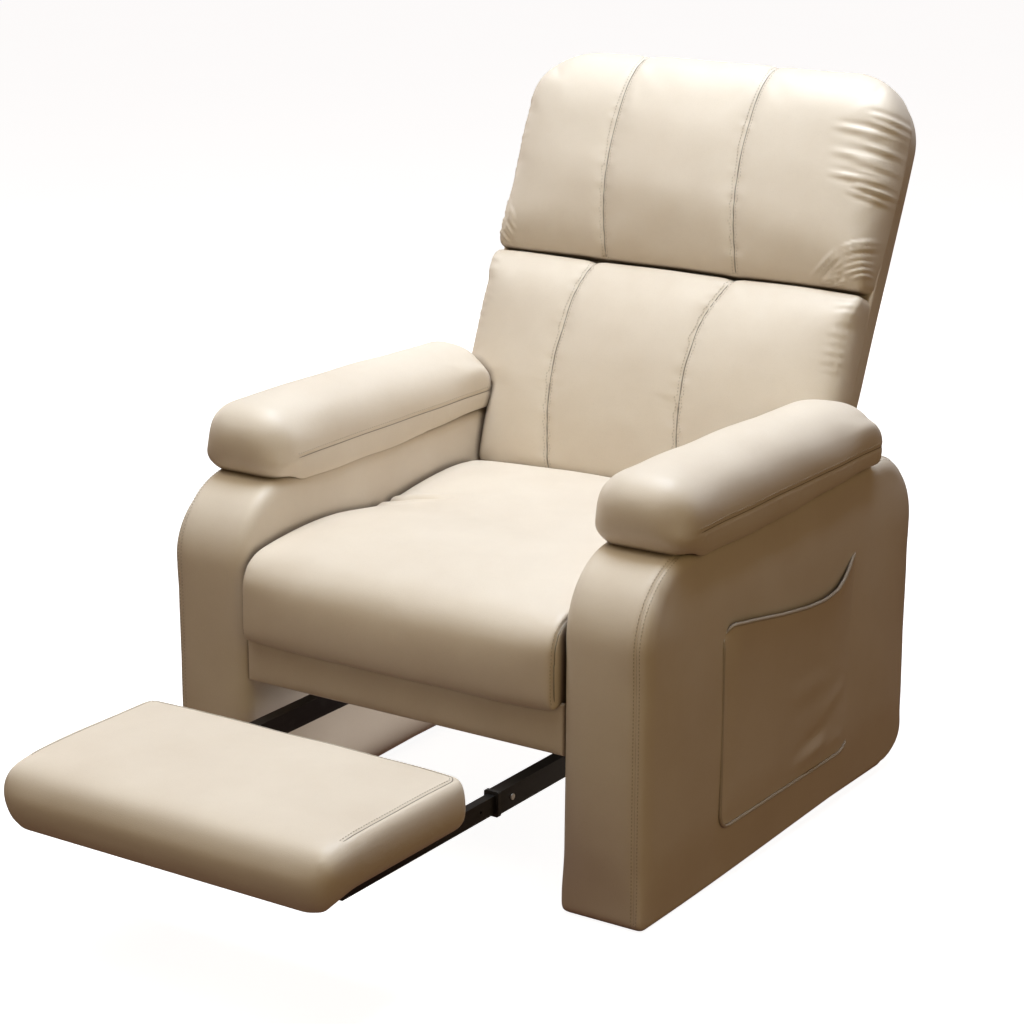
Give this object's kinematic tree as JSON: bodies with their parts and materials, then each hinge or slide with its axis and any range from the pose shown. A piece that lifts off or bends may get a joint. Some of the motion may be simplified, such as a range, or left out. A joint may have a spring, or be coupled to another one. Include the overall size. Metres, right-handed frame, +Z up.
{
  "type": "recliner armchair",
  "caption": "Upholstered armchair with a reclining back, padded arms, a side pocket and a footrest that slides out on rails.",
  "frame": {"origin": "middle of the footprint on the floor, with the footrest pulled out and the back upright", "axes": "+Z up; the sitter faces -Y; +X is the side with the pocket"},
  "size_m": [0.776, 1.3403, 0.9819],
  "materials": {
    "cream_leather": "satin",
    "timber": "matte",
    "foam": "matte",
    "webbing": "matte",
    "black_steel": "satin",
    "zinc": "satin",
    "black_plastic": "matte"
  },
  "bodies": {
    "chair": {"arm_frame_left": "timber", "arm_frame_right": "timber", "arm_cover_left": "cream_leather", "arm_cover_right": "cream_leather", "arm_pad_board_left": "timber", "arm_pad_board_right": "timber", "arm_pad_left": "cream_leather", "arm_pad_right": "cream_leather", "side_pocket": "cream_leather", "floor_glides": "black_plastic", "front_apron": "cream_leather", "seat_rail_front": "timber", "seat_rail_rear": "timber", "seat_rail_left": "timber", "seat_rail_right": "timber", "seat_springs": "zinc", "dust_cover": "webbing", "seat_cushion": "cream_leather", "seat_foam": "foam", "rear_stretcher": "timber", "rear_apron": "cream_leather", "frame_bolts": "zinc", "rail_sleeve_left": "black_steel", "rail_sleeve_right": "black_steel", "rail_guide_left": "black_plastic", "rail_guide_right": "black_plastic", "sleeve_brackets": "black_steel", "sleeve_screws": "zinc", "hinge_plate_seat_left": "black_steel", "hinge_plate_seat_right": "black_steel", "pivot_bolts": "zinc", "pawl_pins": "zinc", "hinge_screws_seat": "zinc"},
    "back": {"back_stile_left": "timber", "back_stile_right": "timber", "back_post_left": "timber", "back_post_right": "timber", "back_rail_top": "timber", "back_rail_middle": "timber", "back_rail_bottom": "timber", "back_webbing": "webbing", "back_shell": "cream_leather", "lumbar_cushion": "cream_leather", "lumbar_foam": "foam", "head_cushion": "cream_leather", "head_foam": "foam", "hinge_plate_back_left": "black_steel", "hinge_plate_back_right": "black_steel", "hinge_screws_back": "zinc"},
    "footrest": {"footrest_cushion": "cream_leather", "footrest_foam": "foam", "footrest_board": "timber", "rail_tube_left": "black_steel", "rail_tube_right": "black_steel", "footrest_cross_bars": "black_steel", "rail_end_caps": "black_plastic", "stop_blocks": "black_plastic", "mounting_plates": "black_steel"},
    "pawl_left": {"pawl_left": "zinc"},
    "pawl_right": {"pawl_right": "zinc"}
  },
  "joints": [
    {"name": "footrest_slide", "type": "slide", "parent": "chair", "child": "footrest", "axis": [0, 1, 0], "range_m": [0, 0.19]},
    {"name": "back_recline", "type": "hinge", "parent": "chair", "child": "back", "pos_m": [0, 0.40084, 0.34], "axis": [-1, 0, 0], "range_deg": [0, 45]},
    {"name": "pawl_left_lift", "type": "hinge", "parent": "chair", "child": "pawl_left", "pos_m": [-0.2236, 0.36684, 0.3], "axis": [1, 0, 0], "range_deg": [0, 12]},
    {"name": "pawl_right_lift", "type": "hinge", "parent": "chair", "child": "pawl_right", "pos_m": [0.2236, 0.36684, 0.3], "axis": [1, 0, 0], "range_deg": [0, 12]}
  ]
}
